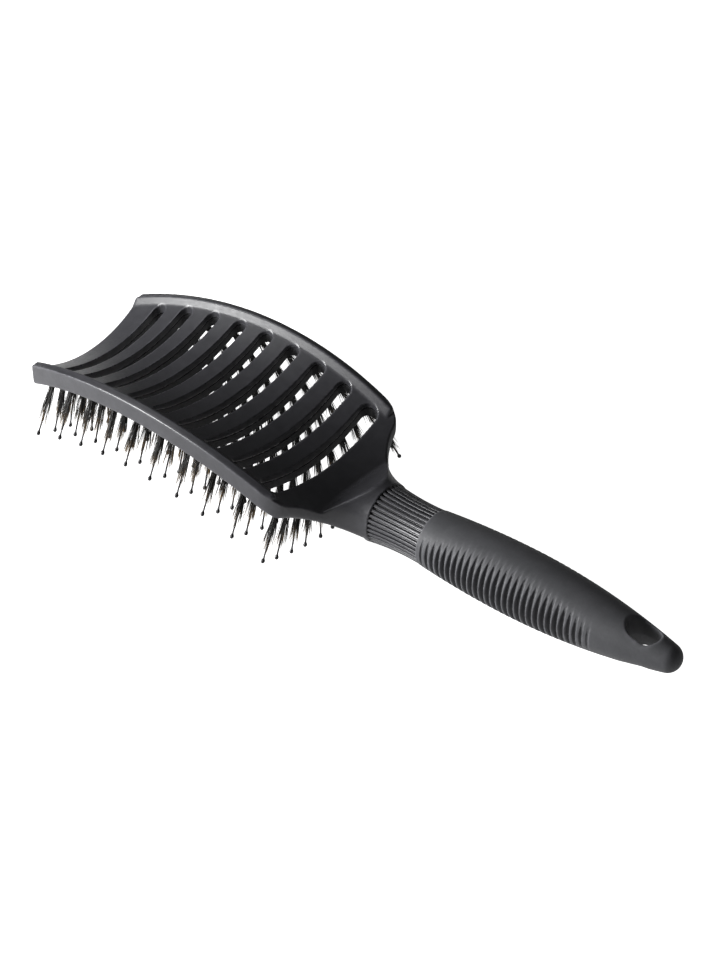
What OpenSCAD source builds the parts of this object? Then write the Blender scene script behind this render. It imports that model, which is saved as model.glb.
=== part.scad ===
// Curved vent brush: an arched, slotted head between two rails, rows of boar
// tufts with ball-tipped nylon pins, a fluted neck and a rubber-gripped handle.
// X runs from the head's tip to the end of the handle, Y across, Z up.
// The bristles point down. The origin is on the floor, under the middle.

/* [Head] */
// Length of the head, from its tip to the two corners at the neck
head_len = 112.4; // [100:0.2:125]
// Width over the rails at the tip
tip_width = 54.6; // [50:0.2:60]
// Width over the rails half way along the head
head_width = 66; // [60:0.5:72]
// Width over the rails at the neck corners
neck_width = 63.6; // [58:0.2:68]
// How far the rails arch up over the line between their ends
arch_rise = 11.7; // [9:0.1:14]
// Height of a rail's outer face
rail_h = 6.9; // [6:0.1:8]
// Thickness of a rail
rail_w = 2.6; // [2.2:0.1:3.2]
// Height of the rim above the top of the outer face
rim_h = 0.7; // [0.4:0.1:1]
// Depth of the trough between the rails, on the centre line
trough_depth = 7.5; // [6:0.1:9]
// Radius of the trough across the head
trough_r = 60; // [56:1:66]
// Size of the two cut corners at the neck
corner_r = 3; // [2:0.5:4]

/* [Vents] */
// Number of vent slots
slots = 9; // [7:1:9]
// Distance from one slot to the next
slot_pitch = 11.56; // [11.4:0.02:11.6]
// Middle of the first slot, from the tip
first_slot_x = 12.95; // [12:0.05:13.5]
// Width of a slot
slot_w = 5.2; // [4.6:0.1:5.6]
// Width of the slot next to the neck
last_slot_w = 6.5; // [5.5:0.1:7]
// Solid edge between a slot's end and the rail's outer face
slot_margin = 4.6; // [4.2:0.1:6]

/* [Layers] */
// Thickness of the frame's slats
slat_t = 2.8; // [2.6:0.1:3.4]
// Thickness of the bristle plate under them
plate_t = 2.6; // [2.4:0.1:3.2]
// Glue line between the two layers
glue_gap = 0.1; // [0.05:0.05:0.2]
// Clearance round the edge of the bristle plate
edge_gap = 0.15; // [0.1:0.05:0.3]
// End of the bristle plate at the neck, from the tip
plate_end = 113.2; // [112.6:0.1:113.6]

/* [Bristles] */
// Target distance between tufts across a row
tuft_pitch = 5.5; // [5:0.1:8]
// Distance of the outermost tuft from the rail's outer face
tuft_margin = 3.9; // [3.9:0.1:6]
// Extra distance of that tuft from the outer face in the row at the neck
last_row_margin = 1.1; // [1.1:0.1:3]
// Offset of a row from the middle of its slat, towards the tip
row_shift = 1; // [0:0.1:1]
// Splay of the outermost tuft
edge_splay = 27; // [20:1:32]
// Free length of a nylon pin
pin_len = 18.8; // [16:0.1:22]
// Diameter of a tuft hole
hole_d = 2.2; // [2.1:0.1:2.4]
// Depth of a tuft hole
hole_depth = 2; // [1.8:0.1:2.1]
// Free length of the boar hair
hair_len = 13.5; // [11:0.5:15]
// Diameter of a tuft at the free end of its hair
tuft_end_d = 3.2; // [2.6:0.1:3.8]
// Diameter of a nylon pin
pin_d = 0.6; // [0.5:0.05:0.8]
// Diameter of the ball on a pin
ball_d = 1.4; // [1.1:0.1:1.8]

/* [Neck] */
// Depth of the handle's axis below the ends of the rails
axis_depth = 14; // [12:0.5:16]
// Radius of the neck where it is thinnest
neck_r = 9.45; // [9:0.05:10]
// Distance of that place from the tip
neck_waist_x = 147; // [145:0.5:149]
// Radius of the hollow curve along the neck
neck_curve_r = 100; // [80:5:140]
// Start of the flutes, from the tip
flute_x = 133.7; // [132:0.1:136]
// Number of flutes round the neck
flutes = 36; // [24:1:40]
// Depth of a flute
flute_depth = 0.7; // [0.4:0.1:0.9]
// Width of a flute
flute_w = 0.85; // [0.6:0.05:1]
// How far the shoulder stands proud of the fluted neck
shoulder_lip = 0.35; // [0.2:0.05:0.6]
// Radius of the hollow on each side of the shoulder
shoulder_r = 21.5; // [20:0.5:23]
// Place where the shoulder's hollow is deepest, from the tip
shoulder_x = 136; // [135:0.5:137]
// Foot of the ramp that closes the trough, from the tip
ramp_x = 118.9; // [118:0.1:120]
// Slope of the ramp
ramp_angle = 33.7; // [30:0.1:40]

/* [Handle] */
// Front edge of the rubber grip, from the tip
grip_x = 153; // [152:0.5:154]
// Radius of the grip where it is thickest
belly_r = 11.45; // [11:0.05:12]
// Distance of that place from the tip
belly_x = 187; // [185:0.5:190]
// Radius of the curve along the front of the grip
front_curve_r = 340; // [320:10:400]
// Radius of the curve along the back of the grip
back_curve_r = 252; // [245:1:260]
// Start of the rounded end, from the tip
tail_x = 245; // [243:0.5:246]
// Grooves in each side of the grip
grooves = 29; // [20:1:29]
// Distance from one groove to the next
groove_pitch = 2.317; // [2.2:0.001:2.32]
// First groove, from the tip
first_groove_x = 155.4; // [155:0.1:156]
// Depth of a groove
groove_depth = 0.9; // [0.5:0.1:1.1]
// Width of a groove at its mouth
groove_w = 1.3; // [1:0.1:1.5]
// Half angle that the longest groove covers round the grip
groove_span = 60; // [50:1:65]
// Half length of the oval outline that all the grooves fill
groove_field = 37.1; // [36:0.1:40]
// Middle of the hanging hole, from the tip
hang_x = 234; // [232:0.5:235]
// Length of the hanging hole
hang_len = 13.2; // [11:0.2:14]
// Width of the hanging hole
hang_w = 8.2; // [7:0.2:8.6]
// Width of the tang inside the grip
tang_w = 9; // [7:0.5:10]
// Height of the tang inside the grip
tang_h = 7; // [6:0.5:9]
// End of the tang, from the tip
tang_end = 221; // [210:1:223]

/* [Hidden] */
$fn = 96;
fine = 720;
profile_step = 4;
mid_x = head_len / 2;
half_w = head_width / 2;
end_w = neck_width / 2;
start_w = tip_width / 2;
row_count = slots + 1;
reach = 40;
through = 1;

// The rails follow an arc in the side view and an arc in the plan view.
arch_r = (mid_x * mid_x + arch_rise * arch_rise) / (2 * arch_rise);
side_y = (2 * half_w * half_w - start_w * start_w - end_w * end_w - 2 * mid_x * mid_x)
    / (4 * half_w - 2 * start_w - 2 * end_w);
side_x = (mid_x * mid_x + half_w * half_w - start_w * start_w
    + 2 * side_y * (start_w - half_w)) / (2 * mid_x);
side_r = norm([side_x, start_w - side_y]);

// The trough, the slats and the plate share one centre of curvature.
trough_axis = trough_r - trough_depth;
slat_bottom_r = trough_r + slat_t;
plate_top_r = slat_bottom_r + glue_gap;
plate_bottom_r = plate_top_r + plate_t;

hair_root_d = hole_d - 0.2;
pin_bore_d = pin_d + 0.2;
anchor_l = 1.8;
anchor_t = 0.35;
anchor_h = 0.9;
corner_drop = 1;
cut_angle = 49;
ramp_z = -10.5;
keel_w = 28;
keel_z = -15;
keel_h = 10;

tail_r = belly_r - (tail_x - belly_x) * (tail_x - belly_x) / (2 * back_curve_r);
tail_slope = (tail_x - belly_x) / back_curve_r;
tail_centre = tail_x - tail_slope * tail_r;
tail_ball_r = norm([tail_r, tail_slope * tail_r]);
total_len = tail_centre + tail_ball_r;
corner_y = half_width(head_len - corner_r) - corner_r;
flare_r = neck_radius(flute_x) + shoulder_lip
    + sqrt(shoulder_r * shoulder_r - (shoulder_x - flute_x) * (shoulder_x - flute_x));

// Height of the floor: the lowest ball of all touches it.
floor_drop = -min([for (i = [0 : row_count - 1], j = [0 : tufts(i) - 1]) pin_tip_z(i, j)]);

function half_width(x) = side_y + sqrt(side_r * side_r - (x - side_x) * (x - side_x));
function swept_z(x, rise) =
    sqrt((arch_r + rise) * (arch_r + rise) - (x - mid_x) * (x - mid_x)) - arch_r + arch_rise;
function arch_z(x) = swept_z(x, 0);
function slot_x(i) = first_slot_x + i * slot_pitch;
function slot_width(i) = i == slots - 1 ? last_slot_w : slot_w;
function row_x(i) = slot_x(i) - slot_pitch / 2 - row_shift;
function row_half(i) =
    half_width(row_x(i)) - tuft_margin - (i == row_count - 1 ? last_row_margin : 0);
function tufts(i) = round(2 * row_half(i) / tuft_pitch) + 1;
function tuft_y(i, j) = row_half(i) * (2 * j / (tufts(i) - 1) - 1);
function tuft_splay(i, j) = edge_splay * tuft_y(i, j) / row_half(i);
function plate_drop(y) = trough_axis - sqrt(plate_bottom_r * plate_bottom_r - y * y);
function tuft_z(i, j) = swept_z(row_x(i), plate_drop(tuft_y(i, j)));
function pin_tip_z(i, j) =
    tuft_z(i, j) - (pin_len - ball_d / 2) * cos(tuft_splay(i, j)) - ball_d / 2;

function neck_radius(x) = neck_r + (x - neck_waist_x) * (x - neck_waist_x) / (2 * neck_curve_r);
function grip_radius(x) =
    belly_r - (x - belly_x) * (x - belly_x) / (2 * (x < belly_x ? front_curve_r : back_curve_r));
function groove_x(i) = first_groove_x + i * groove_pitch;
function groove_angle(i) = groove_span * sqrt(1 - pow((groove_x(i) - belly_x) / groove_field, 2));
// Offset of the ring that cuts a groove of the given depth and half angle
function groove_shift(r, angle, depth) =
    (2 * r * depth - depth * depth) / (2 * (r * (1 - cos(angle)) - depth));

function row_name(kind, i) = str(kind, i < 9 ? "0" : "", i + 1);

// Moves from the head's own frame (tip at x = 0, rail ends at z = 0) to the floor
module placed() translate([-total_len / 2, 0, floor_drop]) children();

// Sweeps a section (radius from the arch's axis, distance across) along the arch
module arch_sweep(angle = 60)
    translate([mid_x, 0, arch_rise - arch_r])
        rotate([90, 0, 0])
            rotate([0, 0, 90 - angle / 2])
                rotate_extrude(angle = angle, $fn = fine) children();

// Plan of the head between two stations, drawn in from the rails by an inset
module head_plan(x0, x1, inset)
    intersection() {
        translate([side_x, side_y]) circle(r = side_r - inset, $fn = fine);
        translate([side_x, -side_y]) circle(r = side_r - inset, $fn = fine);
        translate([x0, -reach]) square([x1 - x0, 2 * reach]);
    }

module head_prism(x0, x1, inset)
    translate([0, 0, -reach]) linear_extrude(2 * reach) head_plan(x0, x1, inset);

// Everything on the head's side of the line that cuts off a corner at the neck
module corner_cut(side, inset)
    translate([head_len - corner_r, side * corner_y])
        rotate(side * cut_angle)
            translate([-2 * head_len, -2 * head_len])
                square([2 * head_len + corner_r - inset, 4 * head_len]);

// Prism over the plan of the head, without its corners
module plan_block(x0, x1, inset)
    translate([0, 0, -reach])
        linear_extrude(2 * reach)
            intersection() {
                head_plan(x0, x1, inset);
                corner_cut(-1, inset);
                corner_cut(1, inset);
            }

// Turns a solid drawn along Z so that it lies along the handle's axis
module along_handle() translate([0, 0, -axis_depth]) rotate([0, 90, 0]) children();

// Section of everything above the given curve across the head
module section_above(r)
    intersection() {
        translate([arch_r + trough_axis, 0]) circle(r = r, $fn = fine);
        translate([arch_r - reach / 2, -reach]) square([reach, 2 * reach]);
    }

module section_below(r)
    difference() {
        translate([arch_r - reach / 2, -reach]) square([reach / 2 + rim_h, 2 * reach]);
        translate([arch_r + trough_axis, 0]) circle(r = r, $fn = fine);
    }

module slot_cutters()
    for (i = [0 : slots - 1])
        let (w = slot_width(i), y = half_width(slot_x(i)) - slot_margin - w / 2)
            translate([slot_x(i), 0, -reach]) {
                translate([-w / 2, -y, 0]) cube([w, 2 * y, 2 * reach]);
                for (side = [-1, 1]) translate([0, side * y, 0]) cylinder(d = w, h = 2 * reach);
            }

module rails_and_slats()
    intersection() {
        translate([-through, -reach, -reach]) cube([head_len + through, 2 * reach, 2 * reach]);
        arch_sweep() translate([arch_r - reach / 2, -reach]) square([reach / 2 + rim_h, 2 * reach]);
        union() {
            arch_sweep() translate([arch_r - rail_h, -reach]) square([rail_h + rim_h, 2 * reach]);
            arch_sweep() section_above(slat_bottom_r);
        }
    }

// The hollow on each side of the shoulder is one ring, turned round the handle's axis
module shoulder()
    difference() {
        hull() {
            translate([head_len - 6, -end_w - 2, -rail_h])
                cube([6, 2 * end_w + 4, rail_h - corner_drop]);
            translate([head_len - 4, -keel_w / 2, keel_z]) cube([4, keel_w, keel_h]);
            along_handle()
                translate([0, 0, flute_x - 1])
                    cylinder(r = neck_radius(flute_x) + 2, h = 1, $fn = 64);
        }
        along_handle()
            translate([0, 0, shoulder_x])
                rotate_extrude() translate([flare_r, 0]) circle(r = shoulder_r);
    }

// Everything over the trough's floor, up to the ramp at the neck
module trough_cutter()
    intersection() {
        head_prism(-through, ramp_x + 2 * trough_depth, rail_w);
        arch_sweep() section_above(trough_r);
        rotate([90, 0, 0])
            translate([0, 0, -reach])
                linear_extrude(2 * reach)
                    polygon([
                        [-2, reach], [-2, -reach],
                        [ramp_x - (reach + ramp_z) / tan(ramp_angle), -reach],
                        [ramp_x + (reach - ramp_z) / tan(ramp_angle), reach]
                    ]);
    }

// Room for the bristle plate under the slats
module plate_pocket()
    intersection() {
        plan_block(-through, plate_end + edge_gap, rail_w);
        arch_sweep() section_below(slat_bottom_r);
    }

module neck_shape()
    along_handle()
        rotate_extrude()
            polygon([
                [0, flute_x - 4],
                for (x = [flute_x - 4 : profile_step : grip_x]) [neck_radius(x), x],
                [neck_radius(grip_x), grip_x], [0, grip_x]
            ]);

module flute_cutters()
    for (i = [0 : flutes - 1])
        rotate([360 * i / flutes, 0, 0])
            flute_slab();

module flute_slab() translate([flute_x, -flute_w / 2, neck_r - 0.25])
    cube([grip_x - flute_x + through, flute_w, 4]);

module tang()
    translate([grip_x - through, -tang_w / 2, -axis_depth - tang_h / 2])
        cube([tang_end - grip_x + through, tang_w, tang_h]);

module fluted_neck()
    difference() {
        neck_shape();
        translate([0, 0, -axis_depth])
            intersection() {
                flute_cutters();
                rotate([0, 90, 0]) rotate_extrude() polygon([
                    for (x = [flute_x : profile_step : grip_x + profile_step])
                        [neck_radius(x) - flute_depth, x],
                    [neck_radius(flute_x) + 2, grip_x + profile_step],
                    [neck_radius(flute_x) + 2, flute_x]
                ]);
            }
    }

module head_frame()
    placed()
        color("#37373b") {
            difference() {
                intersection() {
                    plan_block(0, flute_x, 0);
                    union() {
                        rails_and_slats();
                        shoulder();
                    }
                }
                trough_cutter();
                plate_pocket();
                slot_cutters();
            }
            fluted_neck();
            tang();
        }

module bristle_plate()
    placed()
        color("#2a2a2d")
            difference() {
                intersection() {
                    plan_block(0, plate_end, rail_w + edge_gap);
                    arch_sweep()
                        difference() {
                            section_above(plate_bottom_r);
                            section_above(plate_top_r);
                        }
                }
                slot_cutters();
                for (i = [0 : row_count - 1])
                    at_tufts(i)
                        translate([0, 0, -hole_depth]) cylinder(d = hole_d, h = hole_depth + 2);
            }

// Places its children at each tuft of a row, with +Z out along the hair
module at_tufts(i)
    for (j = [0 : tufts(i) - 1])
        translate([row_x(i), tuft_y(i, j), tuft_z(i, j)])
            rotate([180 + tuft_splay(i, j), 0, 0]) children();

module anchor_staple()
    translate([-anchor_l / 2, -anchor_t / 2, -hole_depth]) cube([anchor_l, anchor_t, anchor_h]);

module boar_tufts_row(i)
    placed()
        color("#1c1815")
            at_tufts(i)
                difference() {
                    rotate_extrude()
                        polygon([
                            [0, -hole_depth], [hair_root_d / 2, -hole_depth],
                            [hair_root_d / 2, 0], [tuft_end_d / 2, hair_len], [0, hair_len]
                        ]);
                    translate([0, 0, anchor_h - hole_depth])
                        cylinder(d = pin_bore_d, h = hair_len + hole_depth + through);
                    anchor_staple();
                }

module nylon_pins_row(i)
    placed()
        color("#141416")
            at_tufts(i) {
                translate([0, 0, anchor_h - hole_depth])
                    cylinder(d = pin_d, h = pin_len - ball_d / 2 + hole_depth - anchor_h);
                translate([0, 0, pin_len - ball_d / 2]) sphere(d = ball_d);
            }

module anchor_staples_row(i) placed() color("#b8b2a4") at_tufts(i) anchor_staple();

module grip_shape()
    along_handle()
        rotate_extrude()
            polygon([
                [0, grip_x],
                for (x = [grip_x : profile_step : tail_x - 1]) [grip_radius(x), x],
                for (a = [atan(tail_slope) : 11 : 89])
                    [tail_ball_r * cos(a), tail_centre + tail_ball_r * sin(a)],
                [0, total_len]
            ]);

// Ring with a sharp inner edge; off centre, it cuts a groove that fades at both ends
module groove_cutter(i, side)
    let (
        r = grip_radius(groove_x(i)), angle = groove_angle(i),
        depth = min(groove_depth, r * (1 - cos(angle)) / 2),
        shift = groove_shift(r, angle, depth),
        inner = r + shift - depth, outer = inner + 1.5 * depth
    )
        translate([groove_x(i), side * shift, -axis_depth])
            rotate([0, 90, 0])
                rotate_extrude()
                    polygon([[inner, 0], [outer, 0.75 * groove_w], [outer, -0.75 * groove_w]]);

module rubber_grip()
    placed()
        color("#3b3b3f")
            difference() {
                grip_shape();
                translate([grip_x - through, -tang_w / 2, -axis_depth - tang_h / 2])
                    cube([tang_end - grip_x + through, tang_w, tang_h]);
                translate([hang_x, 0, -axis_depth - reach / 2]) {
                    for (side = [-1, 1])
                        translate([side * (hang_len - hang_w) / 2, 0, 0]) cylinder(d = hang_w, h = reach);
                    translate([-(hang_len - hang_w) / 2, -hang_w / 2, 0])
                        cube([hang_len - hang_w, hang_w, reach]);
                }
                for (i = [0 : grooves - 1], side = [-1, 1]) groove_cutter(i, side);
            }

head_frame();
bristle_plate();
rubber_grip();
for (i = [0 : row_count - 1]) {
    boar_tufts_row(i);
    nylon_pins_row(i);
    anchor_staples_row(i);
}
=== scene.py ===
"""Looks for the curved vent hair brush.

The shapes below are written in millimetres in the brush's own axes: x runs from the
tip of the head to the end of the handle, y runs across, z runs up, and z = 0 is the
height of the rails' ends. place() moves them into the row's frame, in metres.
"""

import math

import bpy
import numpy as np
from mathutils import Matrix, Vector


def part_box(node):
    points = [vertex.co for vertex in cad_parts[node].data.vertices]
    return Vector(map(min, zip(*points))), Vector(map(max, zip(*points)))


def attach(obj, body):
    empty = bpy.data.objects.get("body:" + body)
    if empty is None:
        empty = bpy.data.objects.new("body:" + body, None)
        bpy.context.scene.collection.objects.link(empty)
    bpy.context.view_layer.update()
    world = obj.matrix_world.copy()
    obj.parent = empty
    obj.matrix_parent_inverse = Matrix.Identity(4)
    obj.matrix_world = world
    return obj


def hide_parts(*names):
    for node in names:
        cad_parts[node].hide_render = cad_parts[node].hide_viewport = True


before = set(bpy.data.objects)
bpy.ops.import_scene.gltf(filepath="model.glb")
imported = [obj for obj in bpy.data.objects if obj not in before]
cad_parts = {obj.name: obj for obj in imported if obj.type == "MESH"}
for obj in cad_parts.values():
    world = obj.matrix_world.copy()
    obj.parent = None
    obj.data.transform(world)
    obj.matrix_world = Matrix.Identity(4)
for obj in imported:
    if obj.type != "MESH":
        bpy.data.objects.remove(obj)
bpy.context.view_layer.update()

# Head
HEAD_LEN = 112.4
TIP_HALF = 27.3
MIDDLE_HALF = 33.0
NECK_HALF = 31.8
ARCH_RISE = 11.7
RAIL_H = 6.9
RAIL_W = 2.6
RIM_H = 0.7
CREST_SLOPE = 0.27
INNER_SLOPE = 1.2
TROUGH_DEPTH = 7.5
TROUGH_R = 60.0
SLAT_T = 2.8
STRIP_W = 4.9
STRIP_DROP = 2.0
TIP_LIP = 1.1
CORNER_R = 3.0
CUT_ANGLE = math.radians(49)
OUTLINE_ROUND = 2.4
TIP_ROUND = 1.8
RIM_ROUND = 0.8
BODY_ROUND = 1.2
RAIL_END_GAP = 0.6
FINE_ROUND = 0.3

# Vent slots
SLOTS = 9
SLOT_PITCH = 11.56
FIRST_SLOT_X = 12.95
SLOT_W = 5.2
LAST_SLOT_W = 6.5
SLOT_MARGIN = 4.6
SLOT_ROUND = 0.35
PLATE_END = 113.35

# Bristles
ROWS = 10
ROW_SHIFT = 1.0
TUFT_PITCH = 5.5
TUFT_MARGIN = 3.9
LAST_ROW_MARGIN = 1.1
EDGE_SPLAY = math.radians(27)
PLATE_BOTTOM_R = 65.5
HOLE_DEPTH = 2.0
ANCHOR_H = 0.9
HAIR_LEN = 13.5
PIN_LEN = 18.8
PIN_R = 0.3
BALL_R = 0.7

# Neck and shoulder
AXIS_DEPTH = 14.0
NECK_R = 9.45
WAIST_X = 147.0
NECK_CURVE_R = 100.0
FLUTE_X = 133.7
FLUTES = 36
FLUTE_DEPTH = 0.7
SHOULDER_LIP = 0.35
SHOULDER_R = 21.5
SHOULDER_X = 136.0
SHOULDER_START = 109.5
UNDER_ALONG = 0.16
UNDER_ACROSS = 0.43
UNDER_UP = 0.9
UNDER_OFFSET = 19.5
UNDER_ROUND = 3.0
KEEL_Z = -13.9
KEEL_SLOPE = 0.53
KEEL_SCALE = 0.88
KEEL_ROUND = 4.0
NECK_START = 131.5
FLUTE_START = 133.3
FLUTE_RUN_IN = 0.4
NECK_OVERLAP = 0.8
RAMP_X = 118.9
RAMP_Z = -10.5
RAMP_ANGLE = math.radians(33.7)

# Grip
GRIP_X = 153.0
BELLY_R = 11.45
BELLY_X = 187.0
FRONT_CURVE_R = 340.0
BACK_CURVE_R = 252.0
TAIL_X = 245.0
GROOVES = 29
GROOVE_PITCH = 2.317
FIRST_GROOVE_X = 155.4
GROOVE_DEPTH = 1.4
GROOVE_MOUTH = 1.85
GROOVE_FLOOR = 0.5
GROOVE_SPAN = math.radians(56)
GROOVE_FIELD = 37.1
HANG_X = 234.9
HANG_LEN = 11.6
HANG_W = 8.2
HANG_FLARE = 1.0
HANG_FLARE_DEPTH = 6.0
HANG_ROUND = 1.0

# Curves that follow from the sizes above, as in the CAD
MID_X = HEAD_LEN / 2
ARCH_R = (MID_X**2 + ARCH_RISE**2) / (2 * ARCH_RISE)
SIDE_Y = (2 * MIDDLE_HALF**2 - TIP_HALF**2 - NECK_HALF**2 - 2 * MID_X**2) / (
    4 * MIDDLE_HALF - 2 * TIP_HALF - 2 * NECK_HALF
)
SIDE_X = (
    MID_X**2 + MIDDLE_HALF**2 - TIP_HALF**2 + 2 * SIDE_Y * (TIP_HALF - MIDDLE_HALF)
) / (2 * MID_X)
SIDE_R = math.hypot(SIDE_X, TIP_HALF - SIDE_Y)
TROUGH_AXIS = TROUGH_R - TROUGH_DEPTH
TAIL_R = BELLY_R - (TAIL_X - BELLY_X) ** 2 / (2 * BACK_CURVE_R)
TAIL_SLOPE = (TAIL_X - BELLY_X) / BACK_CURVE_R
TAIL_CENTRE = TAIL_X - TAIL_SLOPE * TAIL_R
TAIL_BALL_R = math.hypot(TAIL_R, TAIL_SLOPE * TAIL_R)

MM = 0.001
tip_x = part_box("head_frame")[0][0] / MM
floor_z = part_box("head_frame")[1][2] / MM - ARCH_RISE - RIM_H


def place(points):
    """Brush axes in millimetres to the row's frame in metres."""
    return (np.asarray(points, dtype=float) + (tip_x, 0.0, floor_z)) * MM


# ---------------------------------------------------------------- shape functions
# A field is negative inside its solid and grows by about 1 per millimetre outside.


def soft_max(a, b, width):
    """Intersection of two fields, with the edge between them rounded over a width."""
    gap = np.maximum(width - np.abs(a - b), 0)
    return np.maximum(a, b) + gap * gap / (4 * width)


def soft_min(a, b, width):
    """Union of two fields, with the corner between them filleted over a width."""
    return -soft_max(-a, -b, width)


def half_width(x):
    return SIDE_Y + np.sqrt(SIDE_R**2 - (x - SIDE_X) ** 2)


CORNER_Y = float(half_width(HEAD_LEN - CORNER_R)) - CORNER_R


def neck_radius(x):
    return NECK_R + (x - WAIST_X) ** 2 / (2 * NECK_CURVE_R)


FLARE_R = float(neck_radius(FLUTE_X)) + SHOULDER_LIP + math.sqrt(
    SHOULDER_R**2 - (SHOULDER_X - FLUTE_X) ** 2
)


def arch_rise(x, z):
    """Height above the arch that the rails follow."""
    return np.hypot(x - MID_X, z - ARCH_RISE + ARCH_R) - ARCH_R


def side_field(x, y):
    return np.hypot(x - SIDE_X, np.abs(y) - SIDE_Y) - SIDE_R


def corner_field(x, y):
    """The line that cuts off each corner of the head at the neck."""
    across = math.cos(CUT_ANGLE) * (x - HEAD_LEN + CORNER_R)
    return across + math.sin(CUT_ANGLE) * (np.abs(y) - CORNER_Y) - CORNER_R


def rail_field(rise, inside):
    """Top of a rail: a crest that rises inwards, then the strip down to the trough."""
    crest = (rise - CREST_SLOPE * inside) * math.cos(math.atan(CREST_SLOPE))
    drop = RIM_H - INNER_SLOPE * (inside - RAIL_W)
    strip = (rise - drop) * math.cos(math.atan(INNER_SLOPE))
    return soft_max(crest, strip, 0.5)


def trough_field(x, y, rise):
    """Solid below the trough, which spans the head from strip to strip."""
    edge = half_width(np.clip(x, 0, HEAD_LEN)) - STRIP_W
    sag = TROUGH_DEPTH - STRIP_DROP
    radius = (edge**2 + sag**2) / (2 * sag)
    return radius - np.hypot(y, rise - radius + TROUGH_DEPTH)


def shoulder_field(x, y, z):
    """The body between the head's corners and the neck, hollow on each side."""
    ring = SHOULDER_R - np.hypot(x - SHOULDER_X, np.hypot(y, z + AXIS_DEPTH) - FLARE_R)
    under = UNDER_ACROSS * np.abs(y) - UNDER_UP * z - UNDER_OFFSET - UNDER_ALONG * (x - HEAD_LEN)
    keel = (KEEL_Z - KEEL_SLOPE * (x - PLATE_END) - z) * KEEL_SCALE
    body = soft_max(ring, SHOULDER_START - x, FINE_ROUND)
    return soft_max(soft_max(body, under, UNDER_ROUND), keel, KEEL_ROUND)


def slot_field(x, y):
    """Air in the nearest vent slot: a straight slot with round ends."""
    index = np.clip(np.round((x - FIRST_SLOT_X) / SLOT_PITCH), 0, SLOTS - 1)
    centre = FIRST_SLOT_X + index * SLOT_PITCH
    radius = np.where(index == SLOTS - 1, LAST_SLOT_W, SLOT_W) / 2
    reach = half_width(centre) - SLOT_MARGIN - radius
    return np.hypot(x - centre, np.maximum(np.abs(y) - reach, 0)) - radius


def head_field(x, y, z):
    """The frame from the tip of the head to the start of the flutes."""
    rise = arch_rise(x, z)
    side = side_field(x, y)
    corner = corner_field(x, y)
    outline = soft_max(side, corner, OUTLINE_ROUND)
    from_axis = np.hypot(y, rise - TROUGH_AXIS)
    underside = soft_min(-rise - RAIL_H, from_axis - TROUGH_R - SLAT_T, 1.0)
    head = soft_max(underside, x - HEAD_LEN, 0.5)
    body = soft_max(outline, soft_min(head, shoulder_field(x, y, z), 1.5), BODY_ROUND)
    rails = soft_max(rail_field(rise, -side), x - HEAD_LEN + RAIL_END_GAP, BODY_ROUND)
    ramp_slope = math.tan(RAMP_ANGLE)
    ramp = (z - RAMP_Z - ramp_slope * (x - RAMP_X)) * math.cos(RAMP_ANGLE)
    top = soft_min(soft_min(trough_field(x, y, rise), rails, FINE_ROUND), ramp, 1.0)
    solid = soft_max(body, top, RIM_ROUND)
    solid = soft_max(solid, -x - TIP_LIP, TIP_ROUND)
    solid = soft_max(solid, x - FLUTE_X, FINE_ROUND)
    solid = soft_max(solid, -slot_field(x, y), SLOT_ROUND)
    pocket = np.maximum(np.maximum(side, corner) + RAIL_W, x - PLATE_END)
    pocket = np.maximum(pocket, TROUGH_R + SLAT_T - from_axis)
    return soft_max(solid, -pocket, FINE_ROUND)


def grip_radius(x):
    curve = np.where(x < BELLY_X, FRONT_CURVE_R, BACK_CURVE_R)
    return BELLY_R - (x - BELLY_X) ** 2 / (2 * curve)


def groove_field(x, y, z):
    """Air in the nearest groove, cut by a ring that is off centre, so its ends fade."""
    index = np.clip(np.round((x - FIRST_GROOVE_X) / GROOVE_PITCH), 0, GROOVES - 1)
    centre = FIRST_GROOVE_X + index * GROOVE_PITCH
    radius = grip_radius(centre)
    angle = GROOVE_SPAN * np.sqrt(1 - ((centre - BELLY_X) / GROOVE_FIELD) ** 2)
    flat = radius * (1 - np.cos(angle))
    depth = np.minimum(GROOVE_DEPTH, flat / 2)
    shift = (2 * radius * depth - depth**2) / (2 * (flat - depth))
    wall = np.maximum(np.abs(x - centre) - GROOVE_FLOOR / 2, 0)
    slope = 2 * GROOVE_DEPTH / (GROOVE_MOUTH - GROOVE_FLOOR)
    from_ring = np.hypot(np.abs(y) + shift, z + AXIS_DEPTH)
    valley = radius + shift - depth + slope * wall - from_ring
    return valley / math.hypot(1, slope)


def grip_field(x, y, z):
    """The rubber sleeve, with its grooves and the hanging hole."""
    from_axis = np.hypot(y, z + AXIS_DEPTH)
    barrel = from_axis - grip_radius(np.minimum(x, TAIL_X + 1))
    ball = np.hypot(x - TAIL_CENTRE, from_axis) - TAIL_BALL_R
    body = np.where(x < TAIL_X, barrel, ball)
    body = soft_max(body, GRIP_X - x, 0.5)
    body = soft_max(body, -groove_field(x, y, z), FINE_ROUND)
    along = np.maximum(np.abs(x - HANG_X) - (HANG_LEN - HANG_W) / 2, 0)
    flare = HANG_FLARE * np.clip((-AXIS_DEPTH - z) / HANG_FLARE_DEPTH, 0, 1)
    return soft_max(body, HANG_W / 2 + flare - np.hypot(along, y), HANG_ROUND)


# ---------------------------------------------------------------- meshing


def steps(*stations):
    """Grid stations: (end, spacing) pairs after the first station."""
    line = [stations[0]]
    for end, spacing in stations[1:]:
        count = max(1, round((end - line[-1]) / spacing))
        line.extend(np.linspace(line[-1], end, count + 1)[1:])
    return np.array(line)


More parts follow.
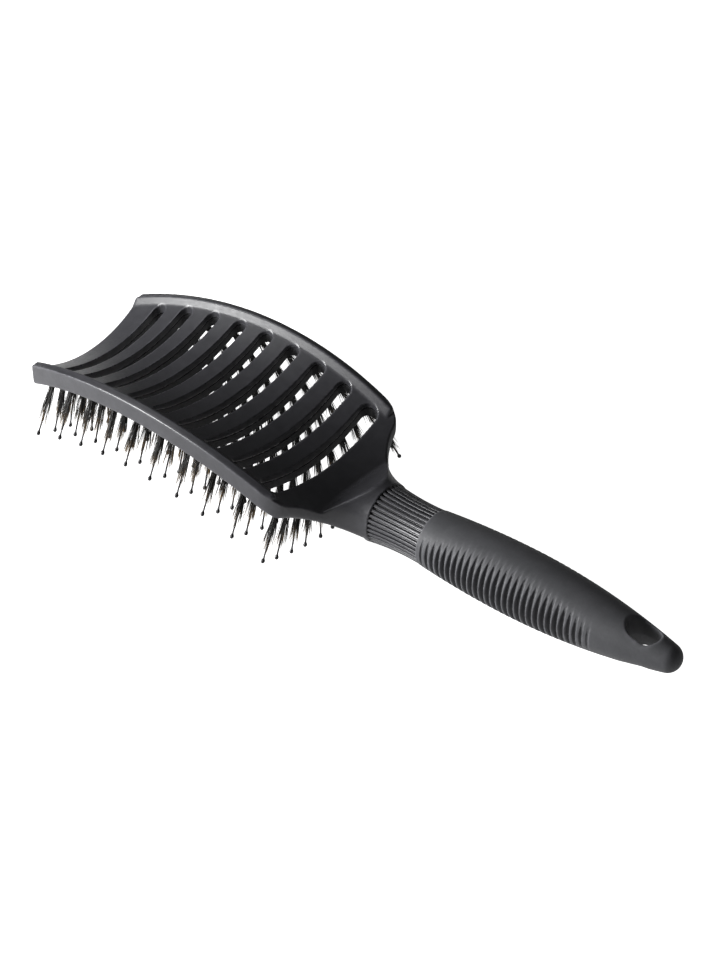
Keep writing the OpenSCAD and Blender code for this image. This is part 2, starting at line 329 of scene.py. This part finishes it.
def crossings(values, grid, axis):
    """Grid edges along an axis that the surface crosses: their cells, points and sign."""
    low = [slice(None)] * 3
    high = [slice(None)] * 3
    low[axis] = slice(None, -1)
    high[axis] = slice(1, None)
    start, end = values[tuple(low)], values[tuple(high)]
    index = np.array(np.nonzero((start < 0) != (end < 0)))
    a, b = start[tuple(index)], end[tuple(index)]
    points = np.stack([grid[k][index[k]] for k in range(3)], axis=1)
    spacing = grid[axis][index[axis] + 1] - grid[axis][index[axis]]
    points[:, axis] += spacing * a / (a - b)
    return index, points, a < 0


def surface_net(field, grid):
    """Quads on the surface where the field is zero, one vertex in each crossed cell."""
    values = field(*np.meshgrid(*grid, indexing="ij"))
    shape = np.array(values.shape) - 1
    total = int(np.prod(shape))
    sums = np.zeros((total, 3))
    hits = np.zeros(total)
    quads = []
    for axis in range(3):
        index, points, rising = crossings(values, grid, axis)
        u, v = (axis + 1) % 3, (axis + 2) % 3
        corners = []
        for du, dv in ((-1, -1), (0, -1), (0, 0), (-1, 0)):
            cell = index.copy()
            cell[u] += du
            cell[v] += dv
            flat = np.ravel_multi_index(tuple(cell), tuple(shape))
            hits += np.bincount(flat, minlength=total)
            for k in range(3):
                sums[:, k] += np.bincount(flat, points[:, k], minlength=total)
            corners.append(flat)
        ring = np.stack(corners, axis=1)
        quads.append(np.where(rising[:, None], ring, ring[:, ::-1]))
    used = hits > 0
    number = np.cumsum(used) - 1
    vertices = sums[used] / hits[used][:, None]
    return vertices, number[np.concatenate(quads)]


def gradient(field, points, step=0.04):
    slope = np.empty_like(points)
    for k in range(3):
        offset = np.zeros(3)
        offset[k] = step
        ahead = field(*(points + offset).T)
        behind = field(*(points - offset).T)
        slope[:, k] = (ahead - behind) / (2 * step)
    return slope


def settle(field, points, rounds=5, longest=0.2):
    """Moves points onto the surface along the field's slope."""
    for _ in range(rounds):
        slope = gradient(field, points)
        size = np.maximum((slope**2).sum(axis=1), 0.05)
        move = -(field(*points.T) / size)[:, None] * slope
        length = np.linalg.norm(move, axis=1, keepdims=True)
        points = points + move * np.minimum(1, longest / np.maximum(length, 1e-9))
    return points


def edge_wear(field, points, step=0.5):
    """How convex the surface is at each point, from 0 to 1."""
    total = -6 * field(*points.T)
    for k in range(3):
        offset = np.zeros(3)
        offset[k] = step
        total = total + field(*(points + offset).T) + field(*(points - offset).T)
    return np.clip(total / step**2 * 0.6, 0, 1)


def add_piece(name, points, faces, material, normals=None):
    """A mesh object in the row's frame that rides on the brush."""
    mesh = bpy.data.meshes.new(name)
    mesh.from_pydata(place(points).tolist(), [], [list(map(int, face)) for face in faces])
    mesh.update()
    mesh.shade_smooth()
    if normals is not None:
        mesh.normals_split_custom_set_from_vertices(normals.tolist())
    mesh.materials.append(material)
    piece = bpy.data.objects.new(name, mesh)
    bpy.context.scene.collection.objects.link(piece)
    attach(piece, "root")
    return piece


def add_values(piece, name, values):
    """A number stored on each vertex, for the material to read."""
    layer = piece.data.attributes.new(name, "FLOAT", "POINT")
    layer.data.foreach_set("value", np.asarray(values, dtype=np.float32))


def add_field_piece(name, field, grid, material):
    points, faces = surface_net(field, grid)
    points = settle(field, points)
    slope = gradient(field, points)
    normals = slope / np.linalg.norm(slope, axis=1, keepdims=True)
    piece = add_piece(name, points, faces, material, normals)
    add_values(piece, "wear", edge_wear(field, points))
    return piece


# ---------------------------------------------------------------- materials


def new_material(name):
    material = bpy.data.materials.new(name)
    material.use_nodes = True
    tree = material.node_tree
    return material, tree, tree.nodes["Principled BSDF"]


def noise(tree, scale, detail=3.0, roughness=0.55, stretch=None):
    """Noise over the object's own coordinates, in features per metre."""
    coords = tree.nodes.new("ShaderNodeTexCoord")
    texture = tree.nodes.new("ShaderNodeTexNoise")
    texture.inputs["Scale"].default_value = scale
    texture.inputs["Detail"].default_value = detail
    texture.inputs["Roughness"].default_value = roughness
    source = coords.outputs["Object"]
    if stretch:
        mapping = tree.nodes.new("ShaderNodeMapping")
        mapping.inputs["Scale"].default_value = stretch
        tree.links.new(source, mapping.inputs["Vector"])
        source = mapping.outputs["Vector"]
    tree.links.new(source, texture.inputs["Vector"])
    return texture.outputs["Fac"]


def remap(tree, value, low, high, out_low, out_high):
    node = tree.nodes.new("ShaderNodeMapRange")
    node.inputs["From Min"].default_value = low
    node.inputs["From Max"].default_value = high
    node.inputs["To Min"].default_value = out_low
    node.inputs["To Max"].default_value = out_high
    tree.links.new(value, node.inputs["Value"])
    return node.outputs["Result"]


def mix_color(tree, factor, first, second):
    node = tree.nodes.new("ShaderNodeMix")
    node.data_type = "RGBA"
    tree.links.new(factor, node.inputs["Factor"])
    for socket, color in (("A", first), ("B", second)):
        target = next(s for s in node.inputs if s.name == socket and s.type == "RGBA")
        if isinstance(color, tuple):
            target.default_value = (*color, 1.0)
        else:
            tree.links.new(color, target)
    return next(s for s in node.outputs if s.type == "RGBA")


def combine(tree, operation, first, second):
    node = tree.nodes.new("ShaderNodeMath")
    node.operation = operation
    for socket, value in zip(node.inputs, (first, second)):
        if isinstance(value, (int, float)):
            socket.default_value = value
        else:
            tree.links.new(value, socket)
    return node.outputs["Value"]


def bump(tree, height, distance, strength, onto=None):
    node = tree.nodes.new("ShaderNodeBump")
    node.inputs["Distance"].default_value = distance
    node.inputs["Strength"].default_value = strength
    tree.links.new(height, node.inputs["Height"])
    if onto:
        tree.links.new(onto, node.inputs["Normal"])
    return node.outputs["Normal"]


def attribute(tree, name):
    node = tree.nodes.new("ShaderNodeAttribute")
    node.attribute_name = name
    return node.outputs["Fac"]


def moulded_plastic(name, dark, light, worn, roughness, grain):
    """Satin moulded plastic: fine grain, soft mottling and, with a worn colour, worn edges."""
    material, tree, shader = new_material(name)
    mottle = noise(tree, 260, detail=4)
    color = mix_color(tree, remap(tree, mottle, 0.3, 0.7, 0, 1), dark, light)
    sheen = remap(tree, noise(tree, 900, detail=3), 0.3, 0.7, roughness - 0.05, roughness + 0.06)
    if worn:
        patchy = remap(tree, noise(tree, 420, detail=5), 0.38, 0.62, 0.15, 1)
        wear = combine(tree, "MULTIPLY", attribute(tree, "wear"), patchy)
        color = mix_color(tree, wear, color, worn)
        sheen = combine(tree, "SUBTRACT", sheen, combine(tree, "MULTIPLY", wear, 0.1))
    tree.links.new(color, shader.inputs["Base Color"])
    tree.links.new(sheen, shader.inputs["Roughness"])
    fine = noise(tree, 5200, detail=2, roughness=0.6)
    broad = noise(tree, 700, detail=2)
    normal = bump(tree, broad, 0.00003, 0.35)
    tree.links.new(bump(tree, fine, 0.00002, grain, normal), shader.inputs["Normal"])
    shader.inputs["Specular IOR Level"].default_value = 0.5
    return material


def soft_rubber(name, dark, light, worn):
    """Soft-touch rubber: matte, with a fine pebbled grain and a little dust sheen."""
    material, tree, shader = new_material(name)
    mottle = noise(tree, 180, detail=5)
    color = mix_color(tree, remap(tree, mottle, 0.3, 0.7, 0, 1), dark, light)
    patchy = remap(tree, noise(tree, 500, detail=4), 0.35, 0.65, 0.3, 1)
    wear = combine(tree, "MULTIPLY", attribute(tree, "wear"), patchy)
    color = mix_color(tree, wear, color, worn)
    tree.links.new(color, shader.inputs["Base Color"])
    rough = remap(tree, noise(tree, 1200, detail=3), 0.3, 0.7, 0.55, 0.68)
    tree.links.new(rough, shader.inputs["Roughness"])
    pebble = noise(tree, 3600, detail=2, roughness=0.6)
    tree.links.new(bump(tree, pebble, 0.00005, 0.45), shader.inputs["Normal"])
    shader.inputs["Specular IOR Level"].default_value = 0.45
    shader.inputs["Sheen Weight"].default_value = 0.06
    shader.inputs["Sheen Roughness"].default_value = 0.5
    return material


def boar_hair(name):
    """Black bristle that turns golden brown where its tip splits."""
    material, tree, shader = new_material(name)
    streak = noise(tree, 1500, detail=3, stretch=(1, 1, 0.15))
    shaft = mix_color(tree, streak, (0.003, 0.003, 0.003), (0.014, 0.012, 0.010))
    tip = mix_color(tree, streak, (0.12, 0.06, 0.02), (0.50, 0.32, 0.12))
    faded = combine(tree, "MULTIPLY", attribute(tree, "fade"), attribute(tree, "tint"))
    tree.links.new(mix_color(tree, faded, shaft, tip), shader.inputs["Base Color"])
    rough = remap(tree, streak, 0.3, 0.7, 0.32, 0.5)
    tree.links.new(rough, shader.inputs["Roughness"])
    scales = noise(tree, 9000, detail=1)
    tree.links.new(bump(tree, scales, 0.00001, 0.3), shader.inputs["Normal"])
    shader.inputs["Specular IOR Level"].default_value = 0.3
    return material


def nylon(name):
    """Glossy black filament with faint drawing lines."""
    material, tree, shader = new_material(name)
    lines = noise(tree, 2500, detail=2, stretch=(1, 1, 0.1))
    color = mix_color(tree, lines, (0.008, 0.008, 0.009), (0.022, 0.022, 0.024))
    tree.links.new(color, shader.inputs["Base Color"])
    rough = remap(tree, lines, 0.3, 0.7, 0.22, 0.34)
    tree.links.new(rough, shader.inputs["Roughness"])
    tree.links.new(bump(tree, lines, 0.00001, 0.25), shader.inputs["Normal"])
    return material


def anchor_wire(name):
    """Flat drawn wire: brushed along its length, slightly dull."""
    material, tree, shader = new_material(name)
    lines = noise(tree, 3000, detail=3, stretch=(0.1, 1, 1))
    color = mix_color(tree, lines, (0.42, 0.40, 0.36), (0.66, 0.64, 0.60))
    tree.links.new(color, shader.inputs["Base Color"])
    rough = remap(tree, lines, 0.3, 0.7, 0.28, 0.45)
    tree.links.new(rough, shader.inputs["Roughness"])
    tree.links.new(bump(tree, lines, 0.00001, 0.3), shader.inputs["Normal"])
    shader.inputs["Metallic"].default_value = 1.0
    return material


frame_plastic = moulded_plastic(
    "frame_plastic",
    dark=(0.030, 0.030, 0.034),
    light=(0.040, 0.040, 0.045),
    worn=(0.075, 0.075, 0.084),
    roughness=0.36,
    grain=0.35,
)
plate_plastic = moulded_plastic(
    "plate_plastic",
    dark=(0.022, 0.022, 0.025),
    light=(0.030, 0.030, 0.033),
    worn=None,
    roughness=0.45,
    grain=0.3,
)
grip_rubber = soft_rubber(
    "grip_rubber",
    dark=(0.038, 0.039, 0.043),
    light=(0.050, 0.051, 0.056),
    worn=(0.10, 0.10, 0.11),
)
hair_material = boar_hair("boar_hair")
pin_material = nylon("pin_nylon")
wire_material = anchor_wire("anchor_wire")

# ---------------------------------------------------------------- frame and grip

head_grid = (
    steps(-2.2, (126.0, 0.5), (134.4, 0.35)),
    steps(-33.8, (33.8, 0.52)),
    steps(-26.0, (13.4, 0.5)),
)
head = add_field_piece("head_shell", head_field, head_grid, frame_plastic)

grip_grid = (
    steps(GRIP_X - 1.2, (222.0, 0.29), (249.8, 0.45)),
    steps(-12.4, (12.4, 0.45)),
    steps(-AXIS_DEPTH - 12.4, (-AXIS_DEPTH + 12.4, 0.45)),
)
grip = add_field_piece("grip_sleeve", grip_field, grip_grid, grip_rubber)
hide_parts("rubber_grip")


def flute_depth(turn):
    """Depth of the flutes at a fraction of a flute: crowned ribs, steep grooves."""
    off_rib = np.abs(turn)
    t = np.clip((off_rib - 0.25) / 0.15, 0, 1)
    return FLUTE_DEPTH * t * t * (3 - 2 * t) + 1.2 * np.minimum(off_rib, 0.25) ** 2


def ring_faces(rings, around):
    """Quads between rings of points, and a face that closes each end."""
    faces = []
    for i in range(rings - 1):
        here = i * around
        ahead = here + around
        for j in range(around):
            k = (j + 1) % around
            faces.append((here + j, here + k, ahead + k, ahead + j))
    faces.append(tuple(range(around))[::-1])
    faces.append(tuple((rings - 1) * around + j for j in range(around)))
    return faces


def add_fluted_neck():
    """A lathe mesh: the plain end hides in the shoulder, the other in the grip."""
    half_rib = np.array([-0.5, -0.42, -0.38, -0.34, -0.3, -0.26, -0.17, -0.08, 0.0])
    turns = np.concatenate([half_rib, -half_rib[1:-1][::-1]])
    run_in = [NECK_START, FLUTE_START, 133.55]
    stations = np.concatenate([run_in, np.linspace(133.75, GRIP_X + NECK_OVERLAP, 36)])
    angles = (np.arange(FLUTES)[:, None] + turns[None, :]).ravel() * 2 * math.pi / FLUTES
    cut = np.tile(flute_depth(turns), FLUTES)
    points, wear = [], []
    for x in stations:
        depth = cut * np.clip((x - FLUTE_START) / FLUTE_RUN_IN, 0, 1)
        radius = neck_radius(x) - depth
        y = radius * np.sin(angles)
        z = radius * np.cos(angles) - AXIS_DEPTH
        points.append(np.stack([np.full_like(radius, x), y, z], axis=1))
        wear.append(0.5 * (1 - np.clip(depth / 0.1, 0, 1)))
    faces = ring_faces(len(stations), len(angles))
    piece = add_piece("fluted_neck", np.concatenate(points), faces, frame_plastic)
    add_values(piece, "wear", np.concatenate(wear))


add_fluted_neck()
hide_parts("head_frame")

# ---------------------------------------------------------------- bristles


def row_tufts(row):
    """Root and direction of each tuft in a row."""
    x = FIRST_SLOT_X + (row - 0.5) * SLOT_PITCH - ROW_SHIFT
    half = float(half_width(x)) - TUFT_MARGIN - (LAST_ROW_MARGIN if row == ROWS - 1 else 0)
    count = math.floor(2 * half / TUFT_PITCH + 0.5) + 1
    for y in np.linspace(-half, half, count):
        rise = TROUGH_AXIS - math.sqrt(PLATE_BOTTOM_R**2 - y * y)
        z = math.sqrt((ARCH_R + rise) ** 2 - (x - MID_X) ** 2) - ARCH_R + ARCH_RISE
        splay = EDGE_SPLAY * y / half
        yield np.array([x, y, z]), np.array([0, math.sin(splay), -math.cos(splay)])


def side_vectors(direction):
    direction = direction / np.linalg.norm(direction)
    across = np.cross(direction, (1.0, 0.0, 0.0))
    across /= np.linalg.norm(across)
    return across, np.cross(direction, across)


def tube(path, radii, sides, phase=0.0):
    """Points and quads of a tube along a path, closed at both ends."""
    u, v = side_vectors(path[-1] - path[0])
    angles = phase + np.arange(sides) * 2 * math.pi / sides
    ring = np.cos(angles)[:, None] * u + np.sin(angles)[:, None] * v
    points = (path[:, None, :] + np.asarray(radii)[:, None, None] * ring[None]).reshape(-1, 3)
    return points, ring_faces(len(path), sides)


HAIR_SEED = 1000
PIN_SEED = 2000
HAIRS_PER_TUFT = 52
HAIR_STATIONS = np.array([-0.12, 0.15, 0.42, 0.68, 0.86, 1.0])
HAIR_RADII = np.array([0.10, 0.10, 0.095, 0.085, 0.065, 0.03])
HAIR_SIDES = 3
FADE_START = 0.7


def hair_path(rng, root, direction):
    """One bristle: it starts in the hole, fans out a little and bends on its way."""
    u, v = side_vectors(direction)
    turn = rng.uniform(0, 2 * math.pi)
    out = math.cos(turn) * u + math.sin(turn) * v
    start = 0.88 * math.sqrt(rng.uniform()) * out
    length = HAIR_LEN * np.clip(rng.normal(0.96, 0.13), 0.55, 1.14)
    lean = start * rng.uniform(0.2, 1.2) + rng.normal(0, 0.5, 2) @ np.array([u, v])
    bend = rng.normal(0, 0.55, 2) @ np.array([u, v])
    t = HAIR_STATIONS[:, None]
    free = np.maximum(t, 0)
    return root + start + length * t * direction + lean * free + bend * free**2 * (1.6 - free)


def add_boar_row(row):
    rng = np.random.default_rng(HAIR_SEED + row)
    hair_fade = np.clip((HAIR_STATIONS - FADE_START) / (1 - FADE_START), 0, 1)
    points, faces, fade, tint = [], [], [], []
    count = 0
    for root, direction in row_tufts(row):
        for _ in range(HAIRS_PER_TUFT):
            path = hair_path(rng, root, direction)
            hair_points, hair_faces = tube(path, HAIR_RADII, HAIR_SIDES, rng.uniform(0, 2))
            points.append(hair_points)
            faces.extend(tuple(count + k for k in face) for face in hair_faces)
            fade.append(np.repeat(hair_fade, HAIR_SIDES))
            tint.append(np.full(len(hair_points), rng.uniform(0.0, 1.0) ** 1.5))
            count += len(hair_points)
    name = f"boar_hair_row_{row + 1:02d}"
    piece = add_piece(name, np.concatenate(points), faces, hair_material)
    add_values(piece, "fade", np.concatenate(fade))
    add_values(piece, "tint", np.concatenate(tint))
    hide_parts(f"boar_tufts_row_{row + 1:02d}")


# Distance back from the tip, and radius, round the drop-shaped ball of a pin
DROP = (
    (0.0, 0.02),
    (0.06, 0.28),
    (0.2, 0.47),
    (0.42, 0.62),
    (0.7, BALL_R),
    (1.0, 0.68),
    (1.3, 0.57),
    (1.6, 0.44),
    (1.9, 0.35),
    (2.3, PIN_R),
)
PIN_SIDES = 12


def add_pin_row(row):
    rng = np.random.default_rng(PIN_SEED + row)
    points, faces = [], []
    count = 0
    for root, direction in row_tufts(row):
        u, v = side_vectors(direction)
        lean = rng.normal(0, 0.014, 2) @ np.array([u, v])
        aim = (direction + lean) / np.linalg.norm(direction + lean)
        along = [-HOLE_DEPTH + ANCHOR_H, 6.0, 12.0] + [PIN_LEN - back for back, _ in DROP[::-1]]
        radii = [PIN_R, PIN_R, PIN_R] + [radius for _, radius in DROP[::-1]]
        path = root + np.array(along)[:, None] * aim
        pin_points, pin_faces = tube(path, radii, PIN_SIDES)
        points.append(pin_points)
        faces.extend(tuple(count + k for k in face) for face in pin_faces)
        count += len(pin_points)
    name = f"nylon_pin_row_{row + 1:02d}"
    piece = add_piece(name, np.concatenate(points), faces, pin_material)
    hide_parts(f"nylon_pins_row_{row + 1:02d}")


for row in range(ROWS):
    add_boar_row(row)
    add_pin_row(row)

# ---------------------------------------------------------------- CAD nodes that stay

for name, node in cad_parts.items():
    if name == "bristle_plate" or name.startswith("anchor_staples"):
        node.data.materials.clear()
        node.data.materials.append(plate_plastic if name == "bristle_plate" else wire_material)

# ---------------------------------------------------------------- floor, light, camera


FLOOR_HALF = 3.0
FLOOR_BOUNCE = 0.12
FLOOR_SEEN = 1.0
WORLD_STRENGTH = 0.07
CAMERA_ANGLES = (40.447, 38.364, -1.077)
CAMERA_PLACE = (579.8, -536.6, 552.7)
CAMERA_LENS = 103.86


def add_floor():
    """A pale floor that glows evenly for the camera and only faintly on the brush."""
    mesh = bpy.data.meshes.new("studio_floor")
    size = FLOOR_HALF
    corners = [(-size, -size, 0), (size, -size, 0), (size, size, 0), (-size, size, 0)]
    mesh.from_pydata(corners, [], [(0, 1, 2, 3)])
    material, tree, shader = new_material("floor_white")
    tone = mix_color(tree, noise(tree, 40, detail=3), (0.86, 0.86, 0.86), (0.9, 0.9, 0.9))
    tree.links.new(tone, shader.inputs["Base Color"])
    shader.inputs["Roughness"].default_value = 0.9
    shader.inputs["Emission Color"].default_value = (1, 1, 1, 1)
    path = tree.nodes.new("ShaderNodeLightPath")
    seen = remap(tree, path.outputs["Is Camera Ray"], 0, 1, FLOOR_BOUNCE, FLOOR_SEEN)
    tree.links.new(seen, shader.inputs["Emission Strength"])
    mesh.materials.append(material)
    floor = bpy.data.objects.new("studio_floor", mesh)
    bpy.context.scene.collection.objects.link(floor)


def add_light(name, direction, distance, size, power):
    """A square soft box that faces the middle of the brush."""
    light = bpy.data.lights.new(name, "AREA")
    light.energy = power
    light.size = size
    lamp = bpy.data.objects.new(name, light)
    lamp.location = Vector(direction).normalized() * distance
    lamp.rotation_euler = lamp.location.to_track_quat("Z", "Y").to_euler()
    bpy.context.scene.collection.objects.link(lamp)


def add_world(strength):
    world = bpy.data.worlds.new("studio")
    bpy.context.scene.world = world
    world.use_nodes = True
    background = world.node_tree.nodes["Background"]
    background.inputs["Color"].default_value = (1, 1, 1, 1)
    background.inputs["Strength"].default_value = strength


def add_camera():
    """A long lens at 38 degrees above the floor, 40 degrees round from the side."""
    azimuth, elevation, roll = (math.radians(a) for a in CAMERA_ANGLES)
    back = Vector(
        (
            math.sin(azimuth) * math.cos(elevation),
            -math.cos(azimuth) * math.cos(elevation),
            math.sin(elevation),
        )
    )
    right = Vector((math.cos(azimuth), math.sin(azimuth), 0))
    up = back.cross(right)
    x_axis = right * math.cos(roll) + up * math.sin(roll)
    y_axis = up * math.cos(roll) - right * math.sin(roll)
    pose = Matrix((x_axis, y_axis, back)).transposed().to_4x4()
    pose.translation = place(CAMERA_PLACE)
    data = bpy.data.cameras.new("camera")
    data.sensor_width = 36
    data.lens = CAMERA_LENS
    data.clip_end = 10
    camera = bpy.data.objects.new("camera", data)
    camera.matrix_world = pose
    bpy.context.scene.collection.objects.link(camera)
    bpy.context.scene.camera = camera


add_floor()
add_world(WORLD_STRENGTH)
add_light("key", (-0.64, -0.70, 0.31), distance=0.8, size=0.34, power=12.5)
add_light("front", (-0.60, -0.10, 0.80), distance=1.2, size=0.6, power=2.2)
add_camera()
bpy.context.scene.view_settings.view_transform = "Standard"
